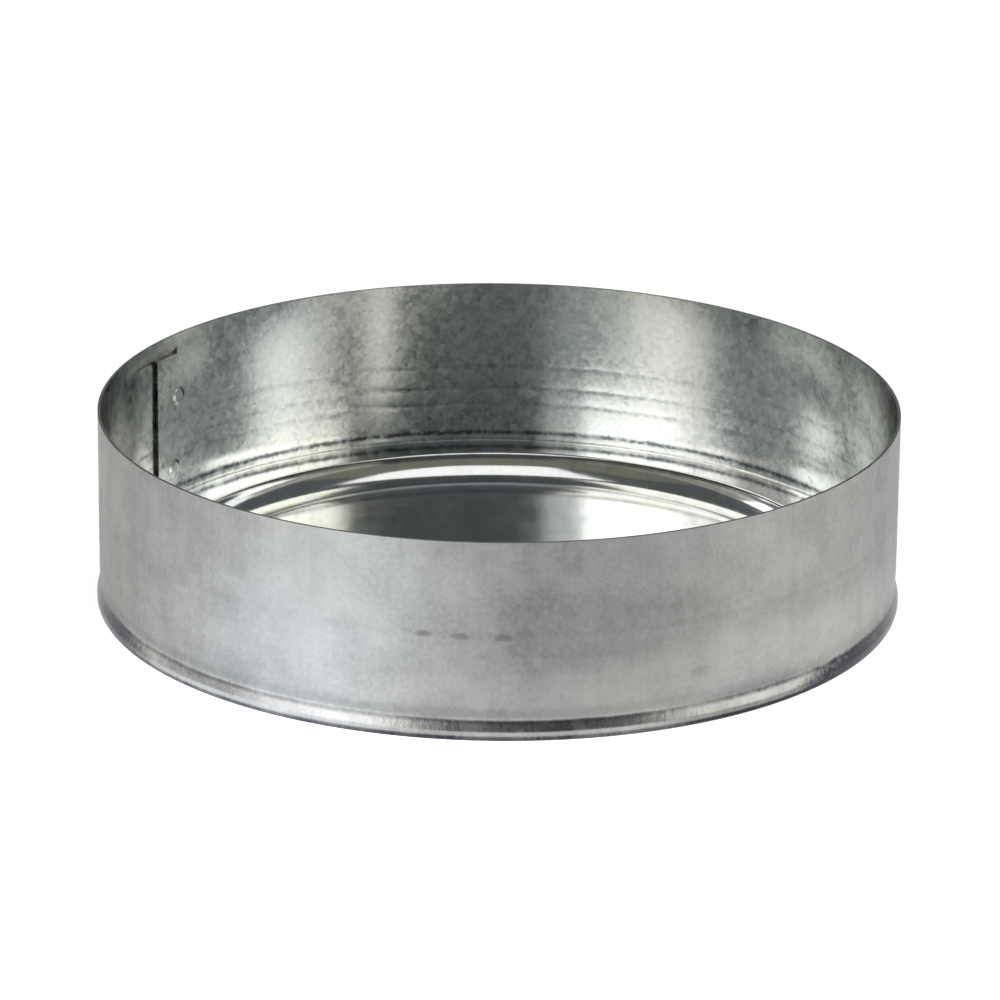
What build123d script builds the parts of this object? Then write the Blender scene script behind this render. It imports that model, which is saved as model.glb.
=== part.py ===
from build123d import *
import os
from math import atan, cos, degrees, radians, sin, tan

# Round sheet-metal tee cap. The base stands on z = 0 with the open side up.
# Lengths are in millimetres, angles in degrees from +X towards +Y.

# Both pieces are cut from one gauge of galvanised sheet
sheet = 0.55
bend_radius = 0.42
seam_clearance = 0.03

# Collar: a strip rolled into a ring. Above its foot it is rolled in to a shallow waist,
# which grips the disc's flange, and below that it flares out into a bead.
collar_radius = 76.2
collar_height = 38.1
waist_start = 7.0
waist_height = 5.0
waist_depth = 0.12
waist_radius = 18.0
bead_step = 0.55
bead_height = 1.7
flare_height = 3.0
flare_radius = 2.5
lip_width = 2.2

# Lap joint that closes the strip, with the free corners notched away
lap_angle = 152.3
lap_gap = 0.1
notch_width = 7.0
notch_height = 4.0
corner_gap = 0.3
joggle_margin = 3.5
joggle_length = 13.3
joggle_steps = 6

# Clinch marks that hold the lap: distance in from the cut end, height
clinch_places = [(7.3, 25.2), (5.7, 10.6)]
clinch_diameter = 3.5
clinch_rise = 0.2
clinch_web = 0.3
clinch_land = 0.45

# End disc: a recessed panel inside a raised ring that carries the flange
ridge_height = 5.0
ridge_width = 8.3
ridge_corner_radius = 0.65
step_run = 2.2
panel_radius = 4.0

os.makedirs("parts", exist_ok=True)

bore_radius = collar_radius - sheet
bead_radius = collar_radius + bead_step
lap_step = sheet + lap_gap
lap_width = 2 * notch_width - corner_gap
foot_radius = bend_radius + 2 * sheet + seam_clearance
flare_step = bead_step + waist_depth
flare_turn = degrees(atan(flare_step / (flare_height - bead_height)))


def wall_angle(length):
    """Angle that a length along the wall takes up."""
    return degrees(length / collar_radius)


def radial_plane(angle):
    """Upright plane through the axis, with local x pointing outwards."""
    outwards = (cos(radians(angle)), sin(radians(angle)), 0)
    sideways = (sin(radians(angle)), -cos(radians(angle)), 0)
    return Plane(origin=(0, 0, 0), x_dir=outwards, z_dir=sideways)


def collar_section(angle, bulge=0):
    """Section of the collar's sheet, its wall pushed out by the bulge."""
    wall = collar_radius + bulge
    with BuildSketch(radial_plane(angle)) as section:
        with BuildLine():
            outside = FilletPolyline(
                (wall, collar_height),
                (wall, waist_start),
                (wall - waist_depth, waist_height),
                (wall - waist_depth, flare_height),
                (bead_radius, bead_height),
                (bead_radius, 0),
                (bead_radius - lip_width, 0),
                radius=[waist_radius, waist_radius, flare_radius, foot_radius, bend_radius + sheet],
            )
            offset(outside, amount=sheet, side=Side.RIGHT)
        make_face()
    return section.sketch


def cut_corner(start, length, low, high):
    """Cut away the wall from a start angle, over a length, between two heights."""
    reach = bead_step + lap_step + lip_width
    with BuildSketch(radial_plane(start)) as block:
        with Locations((collar_radius, (low + high) / 2)):
            Rectangle(2 * reach, high - low)
    revolve(block.sketch, axis=Axis.Z, revolution_arc=wall_angle(length), mode=Mode.SUBTRACT)


# Angles around the ring: the outer layer's cut end, and where it leaves the round
outer_end = lap_angle - wall_angle(lap_width)
joggle_end = lap_angle + wall_angle(joggle_margin)
joggle_start = joggle_end + wall_angle(joggle_length)
notch_top = collar_height - notch_height

# Inner layer and the rest of the ring, on the true radius
with BuildPart() as round_layer:
    revolve(collar_section(joggle_start), axis=Axis.Z, revolution_arc=360 - joggle_start + lap_angle)
    inner_corner = lap_angle - wall_angle(notch_width)
    cut_corner(inner_corner, 2 * notch_width, -notch_height, notch_height)
    cut_corner(inner_corner, 2 * notch_width, notch_top, collar_height + notch_height)

# Outer layer, eased outwards by one sheet and the gap
with BuildPart() as raised_layer:
    eased = []
    for step in range(joggle_steps + 1):
        share = step / joggle_steps
        angle = joggle_start + share * (joggle_end - joggle_start)
        eased.append(collar_section(angle, lap_step * share**2 * (3 - 2 * share)))
    loft(eased)
    revolve(collar_section(outer_end, lap_step), axis=Axis.Z, revolution_arc=joggle_end - outer_end)
    cut_corner(outer_end - wall_angle(notch_width), 2 * notch_width, -notch_height, notch_height)
    cut_corner(outer_end - wall_angle(notch_width), 2 * notch_width, notch_top,
               collar_height + notch_height)

# Collar: both layers in one strip, held together at the clinch marks
with BuildPart() as collar:
    add(round_layer.part)
    add(raised_layer.part)
    button_face = bore_radius - clinch_rise
    for inset, height in clinch_places:
        outwards = radial_plane(lap_angle - wall_angle(inset)).x_dir
        button = Plane(origin=outwards * button_face + Vector(0, 0, height), z_dir=outwards)
        with BuildSketch(button) as rim:
            Circle(clinch_diameter / 2)
        extrude(amount=clinch_rise + lap_step + sheet / 2)
        with BuildSketch(button.offset(clinch_web)) as pocket:
            Circle(clinch_diameter / 2 - clinch_land)
        extrude(amount=clinch_rise + lap_step + 2 * sheet, mode=Mode.SUBTRACT)
collar.part.label = "collar"

# End disc: its flange runs down inside the collar and flares out into the bead
flange_inset = sheet + seam_clearance
flange_radius = collar_radius - waist_depth - flange_inset
ridge_radius = flange_radius - ridge_width
mitre_drop = flange_inset * tan(radians(flare_turn / 2))
with BuildPart() as end_disc:
    with BuildSketch(Plane.XZ):
        with BuildLine():
            upper_face = FilletPolyline(
                (0, sheet),
                (ridge_radius - step_run, sheet),
                (ridge_radius, ridge_height),
                (flange_radius, ridge_height),
                (flange_radius, flare_height - mitre_drop),
                (flange_radius + flare_step, bead_height - mitre_drop),
                (flange_radius + flare_step, flange_inset + bend_radius),
                radius=[
                    panel_radius,
                    ridge_corner_radius + sheet,
                    bend_radius + sheet,
                    flare_radius + flange_inset,
                    bend_radius + sheet,
                ],
            )
            offset(upper_face, amount=sheet, side=Side.RIGHT)
        make_face()
    revolve(axis=Axis.Z)
end_disc.part.label = "end_disc"

export_step(collar.part, "parts/collar.step")
export_step(end_disc.part, "parts/end_disc.step")
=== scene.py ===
from math import ceil, cos, pi, radians, sin, tan

import bpy
from mathutils import Matrix, Vector


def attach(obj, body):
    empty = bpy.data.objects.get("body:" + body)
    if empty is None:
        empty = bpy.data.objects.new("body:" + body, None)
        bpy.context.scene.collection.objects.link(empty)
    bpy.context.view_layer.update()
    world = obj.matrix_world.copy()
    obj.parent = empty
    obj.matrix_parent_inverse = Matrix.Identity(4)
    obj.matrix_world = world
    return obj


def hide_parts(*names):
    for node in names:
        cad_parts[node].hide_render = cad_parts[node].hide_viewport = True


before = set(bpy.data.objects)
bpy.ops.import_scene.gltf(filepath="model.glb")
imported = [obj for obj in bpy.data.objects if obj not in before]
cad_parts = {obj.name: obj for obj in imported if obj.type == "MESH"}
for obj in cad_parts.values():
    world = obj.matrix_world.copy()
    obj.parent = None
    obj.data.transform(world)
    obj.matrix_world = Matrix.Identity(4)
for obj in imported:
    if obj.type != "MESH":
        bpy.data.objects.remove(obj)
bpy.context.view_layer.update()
mm = 0.001
sharpAngle = 40  # degrees, from which an edge of a sheet stays sharp
print("frame loaded:", ", ".join(sorted(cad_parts)))


# Node helpers, shared by the geometry trees and the materials. A wire is a socket in an
# expression, and a board is a tree that nodes are added to.
class Wire:
    def __init__(self, board, socket):
        self.board = board
        self.socket = socket

    def out(self, name):
        return Wire(self.board, self.socket.node.outputs[name])

    def calc(self, operation, first, second=0.0):
        return self.board.add("ShaderNodeMath", {"operation": operation}, {0: first, 1: second})

    def __add__(self, other):
        return self.calc("ADD", self, other)

    def __radd__(self, other):
        return self.calc("ADD", other, self)

    def __sub__(self, other):
        return self.calc("SUBTRACT", self, other)

    def __rsub__(self, other):
        return self.calc("SUBTRACT", other, self)

    def __mul__(self, other):
        return self.calc("MULTIPLY", self, other)

    def __rmul__(self, other):
        return self.calc("MULTIPLY", other, self)

    def __truediv__(self, other):
        return self.calc("DIVIDE", self, other)

    def __rtruediv__(self, other):
        return self.calc("DIVIDE", other, self)

    def __pow__(self, other):
        return self.calc("POWER", self, other)

    def __abs__(self):
        return self.calc("ABSOLUTE", self)

    def __gt__(self, other):
        return self.calc("GREATER_THAN", self, other)

    def __lt__(self, other):
        return self.calc("LESS_THAN", self, other)


class Board:
    def __init__(self, tree):
        self.tree = tree
        tree.nodes.clear()

    def add(self, kind, settings, values, output=0):
        made = self.tree.nodes.new(kind)
        for name, setting in settings.items():
            if name == "stops":
                ramp = made.color_ramp
                while len(ramp.elements) < len(setting):
                    ramp.elements.new(0.5)
                for element, (place, colour) in zip(ramp.elements, setting):
                    element.position = place
                    element.color = (*colour, 1.0)
            else:
                setattr(made, name, setting)
        for name, value in values.items():
            if isinstance(value, Wire):
                self.tree.links.new(value.socket, made.inputs[name])
            else:
                made.inputs[name].default_value = value
        return Wire(self, made.outputs[output] if made.outputs else None)


# Smooth step from 0 at low to 1 at high, which falls where low is the larger
def ease(value, low, high):
    return value.board.add("ShaderNodeMapRange", {"interpolation_type": "SMOOTHSTEP"},
                           {"Value": value, "From Min": low, "From Max": high})


# Smooth hump: 1 at the centre, 0 from half its width away
def hump(value, centre, half):
    return ease(abs(value - centre), half, 0.0)


def noiseOf(board, place, scale, detail, seed, rough=0.5):
    return board.add("ShaderNodeTexNoise", {"noise_dimensions": "4D"},
                     {"Vector": place, "W": seed, "Scale": scale, "Detail": detail,
                      "Roughness": rough})


# Sections and stations that the sheets are swept from, in millimetres. A corner is its place
# and the radius of its fillet.
def roundedSection(corners, arcStep):
    placed = [Vector(c[:2]) for c in corners]
    points = [placed[0]]
    for before, corner, after, (_, _, radius) in zip(placed, placed[1:], placed[2:], corners[1:]):
        if not radius:
            points.append(corner)
            continue
        back = (before - corner).normalized()
        ahead = (after - corner).normalized()
        half = back.angle(ahead) / 2
        centre = corner + (back + ahead).normalized() * radius / sin(half)
        first = corner + back * radius / tan(half) - centre
        last = corner + ahead * radius / tan(half) - centre
        count = max(2, ceil(first.angle(last) * radius / arcStep))
        for step in range(count + 1):
            points.append(centre + first.slerp(last, step / count).normalized() * radius)
    points.append(placed[-1])
    return points


# More points along the straights, so that no gap is much wider than gapAt says
def filled(points, gapAt):
    stretch = 1.4  # the last gap of a straight may be this much wider
    rows = [points[0]]
    for first, last in zip(points, points[1:]):
        length = (last - first).length
        along = 0.0
        while length - along > stretch * gapAt(first.lerp(last, along / length)):
            along += gapAt(first.lerp(last, along / length))
            rows.append(first.lerp(last, along / length))
        rows.append(last)
    return rows


# Even steps from each end to the next, with one count for each run
def evenRuns(ends, counts):
    places = [ends[0]]
    for start, end, count in zip(ends, ends[1:], counts):
        places += [start + (end - start) * step / count for step in range(1, count + 1)]
    return places


def chainObject(name, points):
    mesh = bpy.data.meshes.new(name)
    mesh.from_pydata(points, [(k, k + 1) for k in range(len(points) - 1)], [])
    chain = bpy.data.objects.new(name, mesh)
    bpy.context.scene.collection.objects.link(chain)
    return chain


# Geometry trees. A sheet's outer face is a grid with a row for each point of its section and
# a column for each station round the axis.
def newTree(name, inputs):
    tree = bpy.data.node_groups.new(name, "GeometryNodeTree")
    tree.interface.new_socket("Geometry", in_out="OUTPUT", socket_type="NodeSocketGeometry")
    tree.interface.new_socket("Geometry", in_out="INPUT", socket_type="NodeSocketGeometry")
    for label, kind in inputs.items():
        tree.interface.new_socket(label, in_out="INPUT", socket_type="NodeSocket" + kind)
    board = Board(tree)
    return board, board.add("NodeGroupInput", {}, {}, "Geometry")


def sweptGrid(board, entry):
    section = board.add("GeometryNodeObjectInfo", {}, {"Object": entry.out("Section")},
                        "Geometry")
    stations = board.add("GeometryNodeObjectInfo", {}, {"Object": entry.out("Stations")},
                         "Geometry")
    rows = board.add("GeometryNodeAttributeDomainSize", {}, {"Geometry": section}, "Point Count")
    columns = board.add("GeometryNodeAttributeDomainSize", {}, {"Geometry": stations},
                        "Point Count")
    grid = board.add("GeometryNodeMeshGrid", {}, {"Vertices X": columns, "Vertices Y": rows},
                     "Mesh")
    index = board.add("GeometryNodeInputIndex", {}, {})
    ratio = (index + 0.5) / rows
    column = ratio.calc("FLOOR", ratio)
    row = index - column * rows
    position = board.add("GeometryNodeInputPosition", {}, {})
    sample = {"data_type": "FLOAT_VECTOR", "domain": "POINT"}
    point = board.add("GeometryNodeSampleIndex", sample,
                      {"Geometry": section, "Value": position, "Index": row})
    station = board.add("GeometryNodeSampleIndex", sample,
                        {"Geometry": stations, "Value": position, "Index": column})
    apart = board.add("ShaderNodeSeparateXYZ", {}, {"Vector": point}, "X")
    angle = board.add("ShaderNodeSeparateXYZ", {}, {"Vector": station}, "X")
    return grid, angle, apart, apart.out("Z")


def aroundAxis(board, angle, height):
    return board.add("ShaderNodeCombineXYZ", {}, {"X": angle.calc("COSINE", angle),
                                                  "Y": angle.calc("SINE", angle), "Z": height})


def placeRound(board, grid, angle, radius, height):
    point = board.add("ShaderNodeCombineXYZ", {}, {
        "X": radius * angle.calc("COSINE", angle), "Y": radius * angle.calc("SINE", angle),
        "Z": height})
    return board.add("GeometryNodeSetPosition", {}, {"Geometry": grid, "Position": point})


def finishTree(board, entry, geometry):
    whole = board.add("GeometryNodeRealizeInstances", {}, {"Geometry": geometry})
    smooth = board.add("GeometryNodeSetShadeSmooth", {}, {"Geometry": whole})
    painted = board.add("GeometryNodeSetMaterial", {},
                        {"Geometry": smooth, "Material": entry.out("Material")})
    board.add("NodeGroupOutput", {}, {0: painted})


# Puts the plain mesh that an object's modifiers give in the object's place
def settled(holder, name):
    depsgraph = bpy.context.evaluated_depsgraph_get()
    mesh = bpy.data.meshes.new_from_object(holder.evaluated_get(depsgraph))
    mesh.name = name
    bpy.data.objects.remove(holder)
    piece = bpy.data.objects.new(name, mesh)
    bpy.context.scene.collection.objects.link(piece)
    return piece


# Runs a geometry tree with these values for its inputs
def grown(name, board, values):
    holder = bpy.data.objects.new(name + "Holder", bpy.data.meshes.new(name + "Holder"))
    bpy.context.scene.collection.objects.link(holder)
    modifier = holder.modifiers.new("Build", "NODES")
    modifier.node_group = board.tree
    for item in board.tree.interface.items_tree:
        if item.in_out == "INPUT" and item.name in values:
            modifier[item.identifier] = values[item.name]
    bpy.context.view_layer.update()
    piece = settled(holder, name)
    for value in values.values():
        if isinstance(value, bpy.types.Object):
            bpy.data.objects.remove(value)
    return piece


# Gives the outer face its gauge. The materials are those outside, inside and on cut edges.
def thickened(piece, thickness, outwards, materials):
    mesh = piece.data
    face = max(mesh.polygons, key=lambda face: face.center.z)
    if face.normal.dot(outwards(face.center)) < 0:
        mesh.flip_normals()
    mesh.materials.clear()
    for material in materials:
        mesh.materials.append(material)
    sheet = piece.modifiers.new("Sheet", "SOLIDIFY")
    sheet.thickness = thickness
    sheet.offset = -1.0
    sheet.use_even_offset = True
    sheet.material_offset = 1
    sheet.material_offset_rim = 2
    name = piece.name
    piece.name = name + "Face"
    solid = settled(piece, name)
    solid.data.set_sharp_from_angle(angle=radians(sharpAngle))
    return solid


# Finish of the galvanised sheet: what all its faces share, in millimetres
zinc = {
    "detail": 3.0, "bite": 0.6,  # octaves of the noises, and their roughness
    "seeds": {"mottle": 1.0, "blotch": 2.0, "streak": 3.0, "warmth": 5.0, "rolled": 8.0},
    "patchEdge": (1.3, 0.1), "patchBreak": 0.6,  # soft edge of a stain and of painted light, and its mottling
    "patchFront": (24.0, 2.0),  # stains and painted light fade out between these Y, on the front
    "lineWander": 1.5, "lineGaps": (0.35, 0.6),  # for the broken share of a line
    "warmSize": 45.0, "warmDetail": 1.0, "warmRange": (0.35, 0.65),
    "rolledLean": 0.45, "rolledDetail": 2.0, "rolledBite": 0.7, "rolledRange": (0.3, 0.7),
    "rolledFade": (0.25, 0.1),  # out of and into a rolled zone
}


def sheetFinish(name, look):
    material = bpy.data.materials.new(name)
    material.use_nodes = True
    board = Board(material.node_tree)
    seeds = zinc["seeds"]
    spot = board.add("ShaderNodeTexCoord", {}, {}, "Object")
    place = board.add("ShaderNodeMapping", {}, {"Vector": spot, "Scale": (1 / mm,) * 3})
    tall = board.add("ShaderNodeMapping", {}, {
        "Vector": spot, "Scale": (1 / mm, 1 / mm, look["streakShare"] / mm)})
    apart = board.add("ShaderNodeSeparateXYZ", {}, {"Vector": place}, "X")
    height = apart.out("Z")

    mottle = noiseOf(board, place, 1 / look["mottleSize"], zinc["detail"], seeds["mottle"],
                     zinc["bite"])
    blotch = noiseOf(board, place, 1 / look["blotchSize"], zinc["detail"], seeds["blotch"])
    streak = noiseOf(board, tall, 1 / look["streakSize"], zinc["detail"], seeds["streak"],
                     zinc["bite"])
    grain = board.add("ShaderNodeTexVoronoi", {"feature": "F1"},
                      {"Vector": place, "Scale": 1 / look["spangleSize"]}, "Color")
    flake = board.add("ShaderNodeSeparateColor", {}, {"Color": grain}, "Red")

    # Shade runs from 0, dark, to 1, light
    shade = (0.5 + (mottle - 0.5) * look["mottle"] + (blotch - 0.5) * look["blotch"]
             + (streak - 0.5) * look["streak"] + (flake - 0.5) * look["spangle"])
    # Bands are painted shade by height: where the hem meets the floor, and in the gap at the
    # inner layer's cut end
    for low, high, depth in look["shadeBands"]:
        shade = shade - ease(height, low, high) * depth
    out = (apart * apart + apart.out("Y") * apart.out("Y")) ** 0.5
    # Rings are painted shade by radius: on the disc, one dims the glint on the ridge corner
    for ring, half, depth in look["shadeRings"]:
        shade = shade - hump(out, ring, half) * depth
    # Stains are partly real stains and partly painted light: painted shade and painted highlights
    # where the wall shows dark and bright surroundings
    for across, up, wide, tallness, depth in look["stainsAndPaintedLight"]:
        away = ((apart - across) * (apart - across) / wide**2
                + (height - up) * (height - up) / tallness**2)
        near = ease(away + (mottle - 0.5) * zinc["patchBreak"], *zinc["patchEdge"]) \
            * ease(apart.out("Y"), *zinc["patchFront"])
        shade = shade - near * depth
    # Lines are painted shade along creases, over the waist, at the top of the bead and in the
    # crevice over the disc
    for up, half, depth, broken in look["shadeLines"]:
        wander = height + (blotch - 0.5) * (zinc["lineWander"] * broken)
        whole = 1.0 - (1.0 - ease(streak, *zinc["lineGaps"])) * broken
        shade = shade - hump(wander, up, half) * depth * whole
    tint = board.add("ShaderNodeValToRGB", {"stops": look["tones"]}, {"Fac": shade}, "Color")
    warmth = ease(noiseOf(board, place, 1 / zinc["warmSize"], zinc["warmDetail"],
                          seeds["warmth"]), *zinc["warmRange"])
    colour = board.add("ShaderNodeMix", {"data_type": "RGBA", "blend_type": "MULTIPLY"},
                       {0: warmth, 6: tint, 7: (*look["warmTint"], 1.0)}, 2)

    roughness = (look["roughness"] + (mottle - 0.5) * look["roughMottle"]
                 + (blotch - 0.5) * look["roughBlotch"] + (flake - 0.5) * look["roughSpangle"])
    relief = mottle * look["mottleDepth"] + streak * look["streakDepth"] \
        + flake * look["spangleDepth"]
    fadeOut, fadeIn = zinc["rolledFade"]
    for low, high, size, depth in look["rolled"]:
        band = ease(height, low - fadeOut, low + fadeIn) \
            * ease(height, high + fadeOut, high - fadeIn)
        lean = board.add("ShaderNodeMapping", {}, {
            "Vector": place, "Scale": (1 / size, 1 / size, zinc["rolledLean"] / size)})
        marks = noiseOf(board, lean, 1.0, zinc["rolledDetail"], seeds["rolled"],
                        zinc["rolledBite"])
        relief = relief + band * ease(marks, *zinc["rolledRange"]) * depth
        roughness = roughness - band * look["rolledShine"]
    bump = board.add("ShaderNodeBump", {}, {"Height": relief, "Distance": mm, "Strength": 1.0})
    shader = board.add("ShaderNodeBsdfPrincipled", {}, {
        "Base Color": colour, "Metallic": 1.0, "Roughness": roughness, "Normal": bump})
    board.add("ShaderNodeOutputMaterial", {}, {"Surface": shader})
    return material


# Collar, in millimetres and degrees
collarSizes = {
    "radius": 76.2, "height": 38.1, "sheet": 0.55,
    "waistStart": 7.0, "waistHeight": 5.0, "waistDepth": 0.12, "waistRadius": 18.0,
    "beadStep": 0.55, "beadHeight": 1.9, "flareHeight": 4.0, "flareRadius": 2.5,
    "footRadius": 1.55, "hemRadius": 0.97, "lipWidth": 2.2,
    "lapAngle": 152.3, "lapStep": 0.65, "lapWidth": 13.98,
    "notchWidth": 7.0, "notchHeight": 4.0, "joggleMargin": 3.5, "joggleLength": 13.3,
    "layerFade": (1.5, 0.1),  # over the top notch, where the raised layer is round again
    "clinches": [(7.3, 25.2), (5.7, 10.6)],  # in from the cut end, up
    "clinchEdge": 1.85, "clinchFace": 1.1, "clinchDepth": 0.24,
    "clinchSpan": (144.5, 150.3),  # angles that the clinch marks lie between
    "creases": [(20.5, 0.9, -0.02), (16.0, 0.7, -0.022), (12.6, 0.8, -0.022)],  # up, half, depth
    "creaseWander": 1.6, "creaseTurns": 6.0,  # up and down, and how often round the collar
    "waveHeight": 0.1, "waveLength": 26.0, "waveRise": 0.22, "waveRange": (6.0, 16.0),
    "waveDetail": 1.5,
    "seamWander": 0.5, "seamTurns": 13.0, "seamDetail": 2.0, "seamBand": (3.4, 1.9),
    "seed": 4.0, "creaseSeed": 7.0, "seamSeed": 11.0,
    "arcStep": 0.16, "columns": (2, 12, 14, 5, 12, 290, 12, 15, 2),  # from cut end to cut end
    "rowGaps": {"lip": 0.7, "bead": 0.22, "marks": 0.34, "wall": 1.15},
    "lipTop": 0.1, "beadTop": 5.6, "clinchReach": 2.1, "creaseReach": 1.5,
}

collarTree, collarEntry = newTree("rolledCollar", {
    "Section": "Object", "Stations": "Object", "Material": "Material",
    "Lap Step": "Float", "Joggle Start": "Float", "Joggle End": "Float",
    "Outer Corner": "Float", "Inner Corner": "Float", "Notch Low": "Float", "Notch High": "Float",
    "Clinch Edge": "Float", "Clinch Face": "Float", "Clinch Depth": "Float",
    "Wave Height": "Float", "Wave Length": "Float", "Wave Rise": "Float",
    "Seam Wander": "Float", "Seed": "Float", "Crease Seed": "Float", "Seam Seed": "Float"})


def collarGeometry(sizes):
    board, entry = collarTree, collarEntry
    grid, angle, radius, height = sweptGrid(board, entry)
    wallShare = ease(height, sizes["beadHeight"] * mm, sizes["flareHeight"] * mm)
    raised = ease(angle, entry.out("Joggle Start"), entry.out("Joggle End"))
    bulge = entry.out("Lap Step") * wallShare * raised \
        * ease(height, *(entry.out("Notch High") + over * mm for over in sizes["layerFade"]))
    ring = aroundAxis(board, angle, height * entry.out("Wave Rise") / (sizes["radius"] * mm))
    wave = noiseOf(board, ring, sizes["radius"] * mm / entry.out("Wave Length"),
                   sizes["waveDetail"], entry.out("Seed"))
    waveLow, waveHigh = sizes["waveRange"]
    swell = (wave - 0.5) * entry.out("Wave Height") * ease(height, waveLow * mm, waveHigh * mm)
    flat = aroundAxis(board, angle, 0.0)
    creaseWander = (noiseOf(board, flat, sizes["creaseTurns"], 1.0, entry.out("Crease Seed"))
                    - 0.5) * (sizes["creaseWander"] * mm)
    pressed = 0.0
    for up, half, depth in sizes["creases"]:
        pressed = hump(height + creaseWander, up * mm, half * mm) * (depth * mm) + pressed
    for inset, up in sizes["clinches"]:
        middle = radians(sizes["lapAngle"]) - inset / sizes["radius"]
        first = abs(angle - middle)
        second = abs(angle - (middle + 2 * pi))
        across = first.calc("MINIMUM", first, second) * (sizes["radius"] * mm)
        away = (across * across + (height - up * mm) * (height - up * mm)) ** 0.5
        pressed = ease(away, entry.out("Clinch Edge"), entry.out("Clinch Face")) \
            * entry.out("Clinch Depth") + pressed
    seamMiddle, seamHalf = sizes["seamBand"]
    wander = (noiseOf(board, flat, sizes["seamTurns"], sizes["seamDetail"],
                      entry.out("Seam Seed")) - 0.5) \
        * entry.out("Seam Wander") * hump(height, seamMiddle * mm, seamHalf * mm)
    placed = placeRound(board, grid, angle, radius + bulge + swell - pressed, height + wander)
    kept = board.add("GeometryNodeStoreNamedAttribute", {"data_type": "FLOAT", "domain": "POINT"},
                     {"Geometry": placed, "Name": "turn", "Value": angle})
    turn = board.add("GeometryNodeInputNamedAttribute", {"data_type": "FLOAT"}, {"Name": "turn"})
    up = board.add("GeometryNodeInputPosition", {}, {})
    level = board.add("ShaderNodeSeparateXYZ", {}, {"Vector": up}, "Z")
    corner = ((turn < entry.out("Outer Corner")) + (turn > entry.out("Inner Corner"))) \
        * ((level < entry.out("Notch Low")) + (level > entry.out("Notch High")))
    cut = board.add("GeometryNodeDeleteGeometry", {"domain": "FACE"},
                    {"Geometry": kept, "Selection": corner})
    clean = board.add("GeometryNodeRemoveAttribute", {}, {"Geometry": cut, "Name": "turn"})
    finishTree(board, entry, clean)


def makeCollar(sizes, materials):
    radius = sizes["radius"]
    waist = radius - sizes["waistDepth"]
    bead = radius + sizes["beadStep"]
    notchTop = sizes["height"] - sizes["notchHeight"]
    outline = roundedSection([
        (radius, sizes["height"], 0), (radius, notchTop, 0),
        (radius, sizes["waistStart"], sizes["waistRadius"]),
        (waist, sizes["waistHeight"], sizes["waistRadius"]),
        (waist, sizes["flareHeight"], sizes["flareRadius"]),
        (bead, sizes["beadHeight"], sizes["footRadius"]), (bead, 0, sizes["hemRadius"]),
        (bead - sizes["lipWidth"], 0, 0)], sizes["arcStep"])

    def gapAt(point):
        gaps = sizes["rowGaps"]
        if point.y < sizes["lipTop"]:
            return gaps["lip"]
        if point.y < sizes["beadTop"]:
            return gaps["bead"]
        marked = [abs(point.y - up) < sizes["clinchReach"] for _, up in sizes["clinches"]]
        marked += [abs(point.y - up) < sizes["creaseReach"] for up, _, _ in sizes["creases"]]
        return gaps["marks"] if any(marked) else gaps["wall"]

    rows = filled(outline, gapAt)
    degree = pi / 180
    lap = sizes["lapAngle"]
    perMm = 1 / radius / degree
    outerEnd = lap - sizes["lapWidth"] * perMm
    joggleEnd = lap + sizes["joggleMargin"] * perMm
    joggleStart = joggleEnd + sizes["joggleLength"] * perMm
    corner = sizes["notchWidth"] * perMm
    outerCorner = outerEnd + corner
    innerCorner = lap + 360 - corner
    first, last = sizes["clinchSpan"]
    stations = evenRuns([outerEnd, first, outerCorner, last, joggleEnd, joggleStart,
                         first + 360, innerCorner, last + 360, lap + 360], sizes["columns"])
    collarGeometry(sizes)
    piece = grown("collarStrip", collarTree, {
        "Section": chainObject("collarSection", [(p.x * mm, 0, p.y * mm) for p in rows]),
        "Stations": chainObject("collarStations", [(a * degree, 0, 0) for a in stations]),
        "Material": materials[0], "Lap Step": sizes["lapStep"] * mm,
        "Joggle Start": joggleStart * degree, "Joggle End": joggleEnd * degree,
        "Outer Corner": outerCorner * degree, "Inner Corner": innerCorner * degree,
        "Notch Low": sizes["notchHeight"] * mm, "Notch High": notchTop * mm,
        "Clinch Edge": sizes["clinchEdge"] * mm, "Clinch Face": sizes["clinchFace"] * mm,
        "Clinch Depth": sizes["clinchDepth"] * mm, "Wave Height": sizes["waveHeight"] * mm,
        "Wave Length": sizes["waveLength"] * mm, "Wave Rise": sizes["waveRise"],
        "Seam Wander": sizes["seamWander"] * mm, "Seed": sizes["seed"],
        "Crease Seed": sizes["creaseSeed"], "Seam Seed": sizes["seamSeed"]})
    return thickened(piece, sizes["sheet"] * mm, lambda p: Vector((p.x, p.y, 0)), materials)
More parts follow.
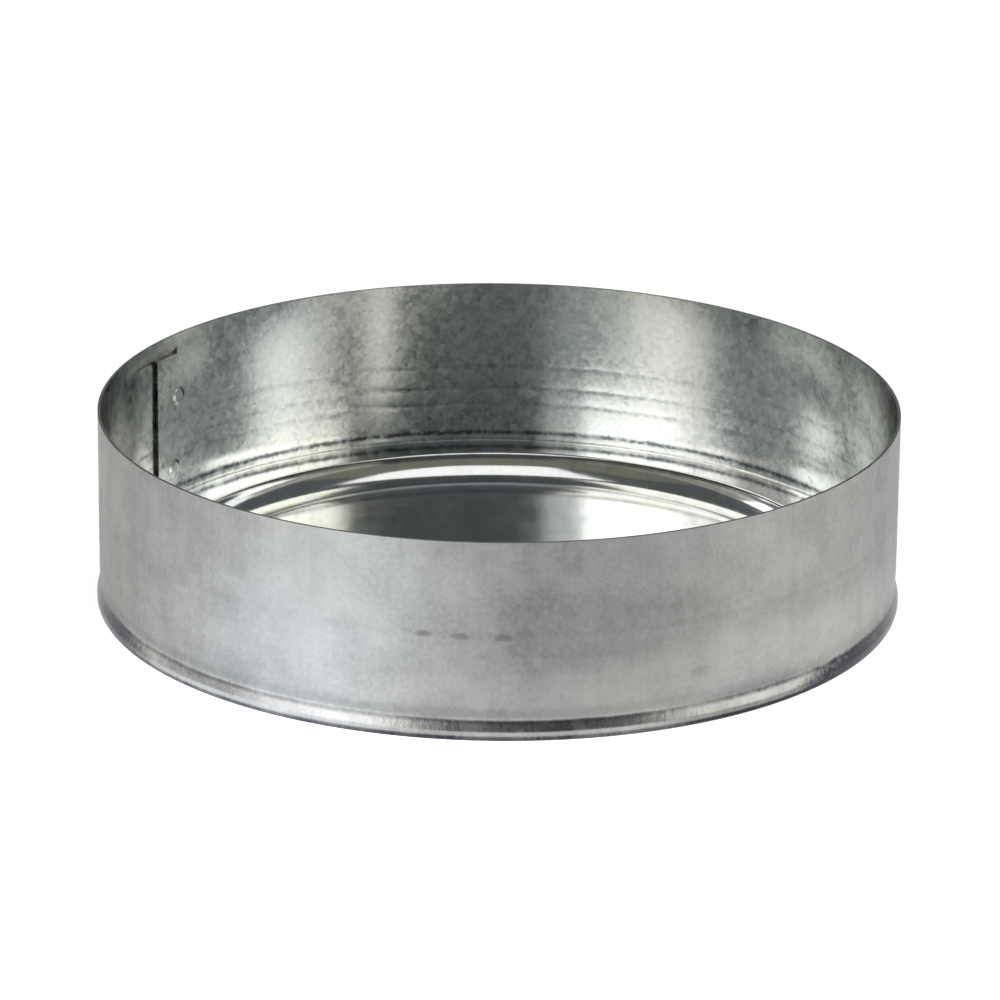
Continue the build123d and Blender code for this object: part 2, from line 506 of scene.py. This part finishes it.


# Looks of the collar's faces, in millimetres. Depths are taken from the shade.
# tones: stops along the shade; bands of painted shade: height where one starts, where it is
# whole, depth
# stains, partly real and partly painted light: X, height, half width, half height, depth; rings
# of painted shade: radius, half width, depth
# lines of painted shade: height, half width, depth, broken share; rolled: lowest, highest, size
# of marks, relief
outsideLook = {
    # its darkest stop is mostly reached by the painted shade on the bead's ends
    "tones": [(0.0, (0.04, 0.037, 0.05)), (0.3, (0.222, 0.223, 0.219)),
              (0.5, (0.344, 0.345, 0.341)), (1.0, (0.66, 0.66, 0.65))],
    "warmTint": (1.0, 0.99, 0.965),
    "mottleSize": 0.9, "blotchSize": 7.0, "streakSize": 2.2, "streakShare": 0.06,
    "spangleSize": 2.6, "mottle": 0.26, "blotch": 0.34, "streak": 0.13, "spangle": 0.06,
    # painted shade at the foot, where the hem meets the floor
    "shadeBands": [(1.4, 0.9, 0.38)],
    "stainsAndPaintedLight": [
        # small dark spots
        (1.3, 20.0, 1.9, 0.75, 0.15), (-6.6, 20.1, 1.8, 0.75, 0.13),
        (-13.2, 20.3, 1.6, 0.75, 0.15), (36.9, 10.4, 2.2, 1.1, 0.08),
        # painted shade: the dark ends of the bead
        (-75.0, 2.0, 11.0, 2.8, 0.5), (74.0, 2.0, 19.0, 2.8, 0.5),
        # painted shade down the middle of the front, then a darker band at mid height
        (-6.0, 20.0, 20.0, 60.0, 0.05), (14.0, 21.5, 32.0, 8.5, 0.075),
        # painted highlights, low on the right and high on the left
        (48.0, 8.5, 40.0, 9.0, -0.1), (-68.0, 33.0, 13.0, 12.0, -0.05),
        # darker low on the left; painted shade on the bead at the right
        (-54.0, 6.0, 15.0, 6.0, 0.06), (50.0, 2.2, 20.0, 3.2, 0.2)],
    # painted shade along a crease, over the waist and at the top of the bead
    "shadeLines": [(20.3, 1.3, 0.04, 0.8), (5.4, 1.8, 0.11, 0.6), (3.75, 0.75, 0.26, 0.3)],
    "shadeRings": [],
    "roughness": 0.55, "roughMottle": 0.1, "roughBlotch": 0.1, "roughSpangle": 0.05,
    "mottleDepth": 0.008, "streakDepth": 0.003, "spangleDepth": 0.002,
    "rolled": [(0.8, 4.3, 0.9, 0.012)], "rolledShine": 0.27,
}
insideLook = {
    # its darkest stops serve the painted shade in the crevice line
    "tones": [(0.0, (0.12, 0.125, 0.13)), (0.14, (0.37, 0.385, 0.395)),
              (0.5, (0.64, 0.65, 0.645)), (1.0, (0.86, 0.86, 0.82))],
    "warmTint": (1.0, 1.0, 0.96),
    "mottleSize": 0.7, "blotchSize": 6.0, "streakSize": 2.0, "streakShare": 0.2,
    "spangleSize": 1.6, "mottle": 0.9, "blotch": 0.26, "streak": 0.2, "spangle": 0.2,
    "shadeBands": [], "stainsAndPaintedLight": [], "shadeRings": [],
    # painted shade along the three creases and in the crevice over the disc
    "shadeLines": [(20.5, 0.8, 0.2, 0.8), (16.0, 0.6, 0.22, 0.8), (12.6, 0.7, 0.22, 0.8),
              (6.5, 0.9, 0.5, 0.0)],
    "roughness": 0.17, "roughMottle": 0.1, "roughBlotch": 0.04, "roughSpangle": 0.06,
    "mottleDepth": 0.003, "streakDepth": 0.001, "spangleDepth": 0.001,
    "rolled": [], "rolledShine": 0.0,
}
# Cut edges; their band is painted shade in the gap along the inner layer's cut end, below the top
# notch
edgeLook = dict(
    insideLook, roughness=0.5, mottleSize=0.5, shadeBands=[(34.4, 33.9, 0.4)], shadeLines=[],
    tones=[(0.0, (0.03, 0.03, 0.03)), (0.5, (0.34, 0.34, 0.34)), (1.0, (0.5, 0.5, 0.5))])

outsideSkin = sheetFinish("zincOutside", outsideLook)
insideSkin = sheetFinish("zincInside", insideLook)
cutEdge = sheetFinish("zincCutEdge", edgeLook)
collar = makeCollar(collarSizes, [outsideSkin, insideSkin, cutEdge])
print("collar:", len(collar.data.polygons), "faces")

# End disc, in millimetres
discSizes = {
    "sheet": 0.55, "flangeRadius": 75.5, "ridgeWidth": 8.3, "ridgeHeight": 5.0, "stepRun": 2.2,
    "panelRadius": 6.4, "ridgeRadius": 0.9, "ridgeShoulder": 0.62,
    "flareRadius": 3.08, "flareStep": 0.67, "flareHeight": 2.859,
    "beadHeight": 1.559, "beadRadius": 0.97, "flangeEnd": 1.0,
    "rippleHeight": 0.07, "rippleLength": 30.0, "rippleRange": (62.0, 52.0),
    "ledgeRipple": 0.1, "ledgeLength": 9.0, "ledgeRange": (3.5, 5.0), "ledgeFade": 2.0,
    "seed": 9.0, "ledgeSeed": 11.0,
    "arcStep": 0.2, "columns": 360, "panelEdge": 60.0,
    "rowGaps": {"panel": 3.0, "step": 0.4, "ridge": 0.6},
}

discTree, discEntry = newTree("pressedDisc", {
    "Section": "Object", "Stations": "Object", "Material": "Material",
    "Ripple Height": "Float", "Ripple Length": "Float", "Ledge Ripple": "Float",
    "Ledge Length": "Float", "Seed": "Float", "Ledge Seed": "Float"})


def discGeometry(sizes):
    board, entry = discTree, discEntry
    grid, angle, radius, height = sweptGrid(board, entry)
    across = board.add("ShaderNodeCombineXYZ", {}, {
        "X": radius * angle.calc("COSINE", angle), "Y": radius * angle.calc("SINE", angle)})
    ripple = noiseOf(board, across, 1.0 / entry.out("Ripple Length"), 1.0, entry.out("Seed"))
    ledge = noiseOf(board, across, 1.0 / entry.out("Ledge Length"), 1.0,
                    entry.out("Ledge Seed"))
    inner = sizes["flangeRadius"] - sizes["ridgeWidth"]
    flat, full = sizes["rippleRange"]
    low, high = sizes["ledgeRange"]
    lift = ripple * entry.out("Ripple Height") * ease(radius, flat * mm, full * mm) \
        - ledge * entry.out("Ledge Ripple") * ease(height, low * mm, high * mm) \
        * ease(radius, inner * mm, (inner + sizes["ledgeFade"]) * mm)
    placed = placeRound(board, grid, angle, radius, height + lift)
    closed = board.add("GeometryNodeMergeByDistance", {}, {  # the panel's middle
        "Geometry": placed, "Distance": 0.001 * mm})
    finishTree(board, entry, closed)


def makeDisc(sizes, materials):
    flange = sizes["flangeRadius"]
    inner = flange - sizes["ridgeWidth"]
    bead = flange + sizes["flareStep"]
    outline = roundedSection([
        (0, sizes["sheet"], 0), (inner - sizes["stepRun"], sizes["sheet"], sizes["panelRadius"]),
        (inner, sizes["ridgeHeight"], sizes["ridgeRadius"]),
        (flange, sizes["ridgeHeight"], sizes["ridgeShoulder"]),
        (flange, sizes["flareHeight"], sizes["flareRadius"]),
        (bead, sizes["beadHeight"], sizes["beadRadius"]), (bead, sizes["flangeEnd"], 0)],
        sizes["arcStep"])

    def gapAt(point):
        zone = "panel" if point.x < sizes["panelEdge"] else "step" if point.x < inner else "ridge"
        return sizes["rowGaps"][zone]

    rows = filled(outline, gapAt)
    stations = evenRuns([0.0, 2 * pi], [sizes["columns"]])
    discGeometry(sizes)
    piece = grown("endPlate", discTree, {
        "Section": chainObject("discSection", [(p.x * mm, 0, p.y * mm) for p in rows]),
        "Stations": chainObject("discStations", [(a, 0, 0) for a in stations]),
        "Material": materials[0], "Ripple Height": sizes["rippleHeight"] * mm,
        "Ripple Length": sizes["rippleLength"] * mm, "Ledge Ripple": sizes["ledgeRipple"] * mm,
        "Ledge Length": sizes["ledgeLength"] * mm,
        "Seed": sizes["seed"], "Ledge Seed": sizes["ledgeSeed"]})
    return thickened(piece, sizes["sheet"] * mm, lambda p: Vector((0, 0, 1)), materials)


discLook = {
    "tones": [(0.0, (0.08, 0.08, 0.09)), (0.5, (0.69, 0.69, 0.69)), (1.0, (0.82, 0.82, 0.81))],
    "warmTint": (1.0, 1.0, 0.96),
    "mottleSize": 1.2, "blotchSize": 12.0, "streakSize": 3.0, "streakShare": 1.0,
    "spangleSize": 3.0, "mottle": 0.1, "blotch": 0.15, "streak": 0.08, "spangle": 0.05,
    # its ring is painted shade that dims the glint on the ridge corner
    "shadeBands": [], "stainsAndPaintedLight": [], "shadeLines": [], "shadeRings": [(66.95, 0.5, 0.35)],
    "roughness": 0.12, "roughMottle": 0.05, "roughBlotch": 0.05, "roughSpangle": 0.03,
    "mottleDepth": 0.003, "streakDepth": 0.001, "spangleDepth": 0.001,
    "rolled": [], "rolledShine": 0.0,
}
discSkin = sheetFinish("zincDisc", discLook)
disc = makeDisc(discSizes, [discSkin, discSkin, cutEdge])
print("end disc:", len(disc.data.polygons), "faces")

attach(collar, "root")
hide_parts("collar")
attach(disc, "root")
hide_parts("end_disc")

# Floor, backdrop and cards, in metres and degrees. The cards stand round the stage.
# lamps: angles from the front that one spans, lowest and highest angle, tone
# echoes: as lamps, then the first and the last bounce that show it
# floor pools of painted light: X, Y and reach in millimetres, tone that one adds
studio = {
    "floorSize": 6.0, "floorDrop": 0.0002, "floorTone": 0.8, "floorGlow": 0.8,
    "whiteGlow": 1.14,
    # painted light: brighter pools of floor in front of the object, seen in its reflections
    "paintedLightPools": [(-77.0, -116.0, 110.0, (3.1, 3.3, 3.6)),
                   (125.0, -70.0, 110.0, (0.7, 0.7, 0.68)), (25.0, -94.0, 45.0, (0.6, 0.6, 0.6))],
    "worldSeen": 1.0, "worldLight": 0.75, "tentRadius": 1.8, "lampRadius": 1.7,
    "tent": (-180.0, 180.0, 0.0, 89.9), "tentTone": (0.105, 0.116, 0.124),
    "lamps": [
        ("frontLeft", -57.0, -26.0, 1.0, 26.0, (3.3, 3.35, 3.35)),
        ("frontLeftSoft", -26.0, -14.0, 1.0, 26.0, (1.0, 1.03, 1.03)),
        ("midLeft", -76.0, -57.0, 1.0, 26.0, (2.2, 2.2, 2.2)),
        ("dimLeft", -102.0, -76.0, 1.0, 26.0, (0.7, 0.7, 0.68)),
        ("sideLeft", -115.0, -102.0, 1.0, 34.0, (3.1, 3.1, 2.95)),
        ("frontRight", 49.0, 66.0, 1.0, 25.5, (2.4, 2.4, 2.25)),
        ("midRight", 66.0, 100.0, 1.0, 25.5, (3.1, 3.1, 3.0)),
        ("sideRight", 100.0, 122.0, 1.0, 34.0, (1.3, 1.35, 1.35)),
        ("rearRight", 122.0, 150.0, 1.0, 34.0, (0.75, 0.85, 0.85)),
        ("aboveLeft", -100.0, -20.0, 26.0, 37.0, (0.34, 0.34, 0.3)),
        ("aboveRight", 45.0, 105.0, 25.5, 37.0, (0.46, 0.46, 0.4)),
        ("rearGrey", 150.0, 244.0, 1.0, 40.0, (0.25, 0.27, 0.27)),
    ],
    "overhead": (-0.4, 0.72, -0.72, 0.46, 1.62, (1.35, 1.35, 1.35)),  # X, X, Y, Y, height, tone
    "echoes": [("echoLeft", -145.0, -44.0, 37.0, 76.0, (2.3, 2.3, 2.2), (2, 9)),
               ("echoRight", 62.0, 125.0, 37.0, 62.0, (2.3, 2.3, 2.1), (2, 9)),
               ("frontHigh", -80.0, 80.0, 38.0, 63.0, (0.2, 0.2, 0.165), (1, 1))],
    "deepGain": 4.0, "deepAfter": 2.5,  # the tent is brighter after this many bounces
    "cardSteps": (5, 10),  # along and up a curved card
}


def seenShare(board):
    path = board.add("ShaderNodeLightPath", {}, {}, "Is Camera Ray")
    both = path + path.out("Is Glossy Ray") + path.out("Is Transmission Ray")
    return both.calc("MINIMUM", both, 1.0)


floorPaint = bpy.data.materials.new("palePaper")
floorPaint.use_nodes = True
board = Board(floorPaint.node_tree)
paper = board.add("ShaderNodeBsdfDiffuse", {}, {"Color": (studio["floorTone"],) * 3 + (1.0,)})
spot = board.add("ShaderNodeTexCoord", {}, {}, "Object")
apart = board.add("ShaderNodeSeparateXYZ", {}, {"Vector": spot}, "X")
levels = [studio["whiteGlow"]] * 3
# The floor's glow, with painted pools of light
for across, ahead, reach, extra in studio["paintedLightPools"]:
    away = ((apart / mm - across) ** 2.0 + (apart.out("Y") / mm - ahead) ** 2.0) ** 0.5
    paintedPool = ease(away, reach, 0.0)
    levels = [paintedPool * share + level for share, level in zip(extra, levels)]
levelColour = board.add("ShaderNodeCombineColor", {}, dict(zip(("Red", "Green", "Blue"), levels)))
glow = board.add("ShaderNodeEmission", {}, {"Color": levelColour})
floorMix = board.add("ShaderNodeMixShader", {}, {0: seenShare(board) * studio["floorGlow"],
                                                1: paper, 2: glow})
board.add("ShaderNodeOutputMaterial", {}, {"Surface": floorMix})
half = studio["floorSize"] / 2
floorMesh = bpy.data.meshes.new("floor")
floorMesh.from_pydata([(x, y, -studio["floorDrop"]) for x, y in
                       ((-half, -half), (half, -half), (half, half), (-half, half))],
                      [], [(0, 1, 2, 3)])
floorMesh.materials.append(floorPaint)
floor = bpy.data.objects.new("floor", floorMesh)
bpy.context.scene.collection.objects.link(floor)

world = bpy.data.worlds.new("studio")
bpy.context.scene.world = world
world.use_nodes = True
board = Board(world.node_tree)
strength = seenShare(board) * (studio["worldSeen"] - studio["worldLight"]) + studio["worldLight"]
sky = board.add("ShaderNodeBackground", {}, {"Color": (1.0, 1.0, 1.0, 1.0),
                                             "Strength": strength})
board.add("ShaderNodeOutputWorld", {}, {"Surface": sky})


def onSphere(azimuth, elevation, distance):
    a, e = radians(azimuth), radians(elevation)
    return Vector((sin(a) * cos(e), -cos(a) * cos(e), sin(e))) * distance


def cardOf(name, points, faces, tone, deepGain=0.0, bounces=None):
    paint = bpy.data.materials.new(name)
    paint.use_nodes = True
    paint.cycles.emission_sampling = "NONE"
    cardBoard = Board(paint.node_tree)
    depth = cardBoard.add("ShaderNodeLightPath", {}, {}, "Ray Depth")
    light = cardBoard.add("ShaderNodeEmission", {}, {
        "Color": (*tone, 1.0), "Strength": (depth > studio["deepAfter"]) * deepGain + 1.0})
    if bounces:
        fewest, most = bounces
        clear = cardBoard.add("ShaderNodeBsdfTransparent", {}, {})
        shown = (depth > fewest - 0.5) * (depth < most + 0.5)
        light = cardBoard.add("ShaderNodeMixShader", {}, {0: shown, 1: clear, 2: light})
    cardBoard.add("ShaderNodeOutputMaterial", {}, {"Surface": light})
    mesh = bpy.data.meshes.new(name)
    mesh.from_pydata(points, [], faces)
    mesh.materials.append(paint)
    card = bpy.data.objects.new(name, mesh)
    bpy.context.scene.collection.objects.link(card)
    card.visible_camera = False
    card.visible_shadow = False
    card.visible_diffuse = False


def curvedCard(name, west, east, low, high, radius, tone, deepGain=0.0, bounces=None):
    acrossStep, upStep = studio["cardSteps"]
    across = ceil((east - west) / acrossStep)
    up = ceil((high - low) / upStep)
    points = [onSphere(west + (east - west) * i / across, low + (high - low) * j / up, radius)
              for j in range(up + 1) for i in range(across + 1)]
    starts = [j * (across + 1) + i for j in range(up) for i in range(across)]
    cardOf(name, points, [(k, k + 1, k + across + 2, k + across + 1) for k in starts], tone,
           deepGain, bounces)


curvedCard("greyTent", *studio["tent"], studio["tentRadius"], studio["tentTone"],
           studio["deepGain"])
for name, west, east, low, high, tone in studio["lamps"]:
    curvedCard(name, west, east, low, high, studio["lampRadius"], tone)
left, right, near, far, up, tone = studio["overhead"]
cardOf("overhead", [(left, near, up), (right, near, up), (right, far, up), (left, far, up)],
       [(0, 1, 2, 3)], tone, bounces=(1, 1))
for name, west, east, low, high, tone, bounces in studio["echoes"]:
    curvedCard(name, west, east, low, high, studio["lampRadius"], tone, bounces=bounces)
print("studio:", len(studio["lamps"]), "lamps")

# Camera, at the photo's angle
shot = {"place": (0.0, -1.0697, 0.4028), "aim": (0.0003, 0.0, 0.0189), "roll": 0.556,
        "lens": 214.1, "sensor": 36.0}
cameraData = bpy.data.cameras.new("camera")
cameraData.lens = shot["lens"]
cameraData.sensor_width = shot["sensor"]
camera = bpy.data.objects.new("camera", cameraData)
bpy.context.scene.collection.objects.link(camera)
camera.location = shot["place"]
look = (Vector(shot["aim"]) - Vector(shot["place"])).to_track_quat("-Z", "Y").to_matrix()
camera.rotation_euler = (look @ Matrix.Rotation(radians(shot["roll"]), 3, "Z")).to_euler()
bpy.context.scene.camera = camera
bpy.context.scene.view_settings.view_transform = "Standard"
print("camera set")
